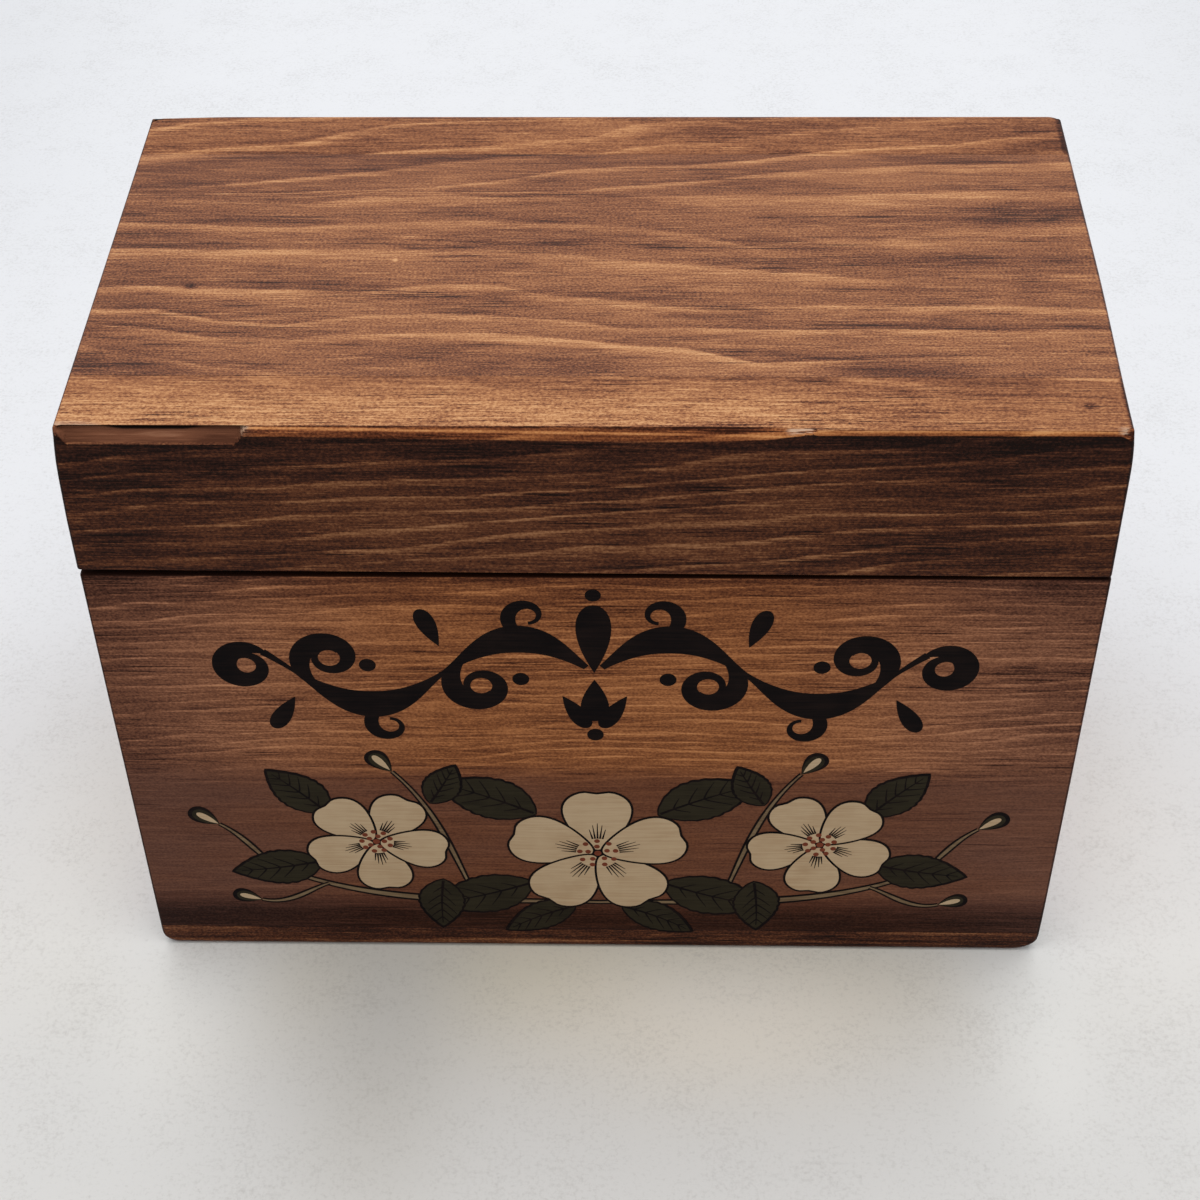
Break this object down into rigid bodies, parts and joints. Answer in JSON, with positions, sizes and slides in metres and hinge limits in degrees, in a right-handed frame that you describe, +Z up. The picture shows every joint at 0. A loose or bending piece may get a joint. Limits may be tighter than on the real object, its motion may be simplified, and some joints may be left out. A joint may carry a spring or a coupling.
{
  "type": "recipe card box",
  "caption": "Stained wooden box for index cards, with a hinged lid, lapped corner joints, brass butt hinges at the back and a flower and scroll print on the front.",
  "frame": {"origin": "centre of the wooden box's underside, on the surface that the box rests on", "axes": "+X to the right along the box's width, +Y to the hinged back, +Z up; the printed front faces -Y"},
  "size_m": [0.1524, 0.0887, 0.113],
  "materials": {
    "front_wood": "warm brown stained pine, satin varnish",
    "side_wood": "brown stained pine, satin varnish",
    "lid_wood": "dark brown stained pine, satin varnish",
    "top_wood": "brown stained pine with wavy grain, satin varnish",
    "bottom_wood": "thin stained board, unpolished",
    "hinge_brass": "thin plated sheet, slightly tarnished",
    "pin_steel": "drawn wire",
    "brad_steel": "dull bright wire nail",
    "front_print": "screen-printed ink in cream, dark green and black, under the front board's varnish"
  },
  "bodies": {
    "body": {"front_board": "front_wood", "back_board": "side_wood", "left_board": "side_wood", "right_board": "side_wood", "bottom_panel": "bottom_wood", "bottom_brads": "brad_steel", "left_hinge_lower_leaf": "hinge_brass", "left_hinge_pin": "pin_steel", "right_hinge_lower_leaf": "hinge_brass", "right_hinge_pin": "pin_steel", "lower_hinge_screws": "hinge_brass"},
    "lid": {"lid_front_rail": "lid_wood", "lid_back_rail": "lid_wood", "lid_left_rail": "lid_wood", "lid_right_rail": "lid_wood", "lid_top_board": "top_wood", "left_hinge_upper_leaf": "hinge_brass", "right_hinge_upper_leaf": "hinge_brass", "upper_hinge_screws": "hinge_brass"}
  },
  "joints": [
    {"name": "lid_hinge", "type": "hinge", "parent": "body", "child": "lid", "pos_m": [0, 0.0444, 0.0859], "axis": [-1, 0, 0], "range_deg": [0, 180]}
  ]
}
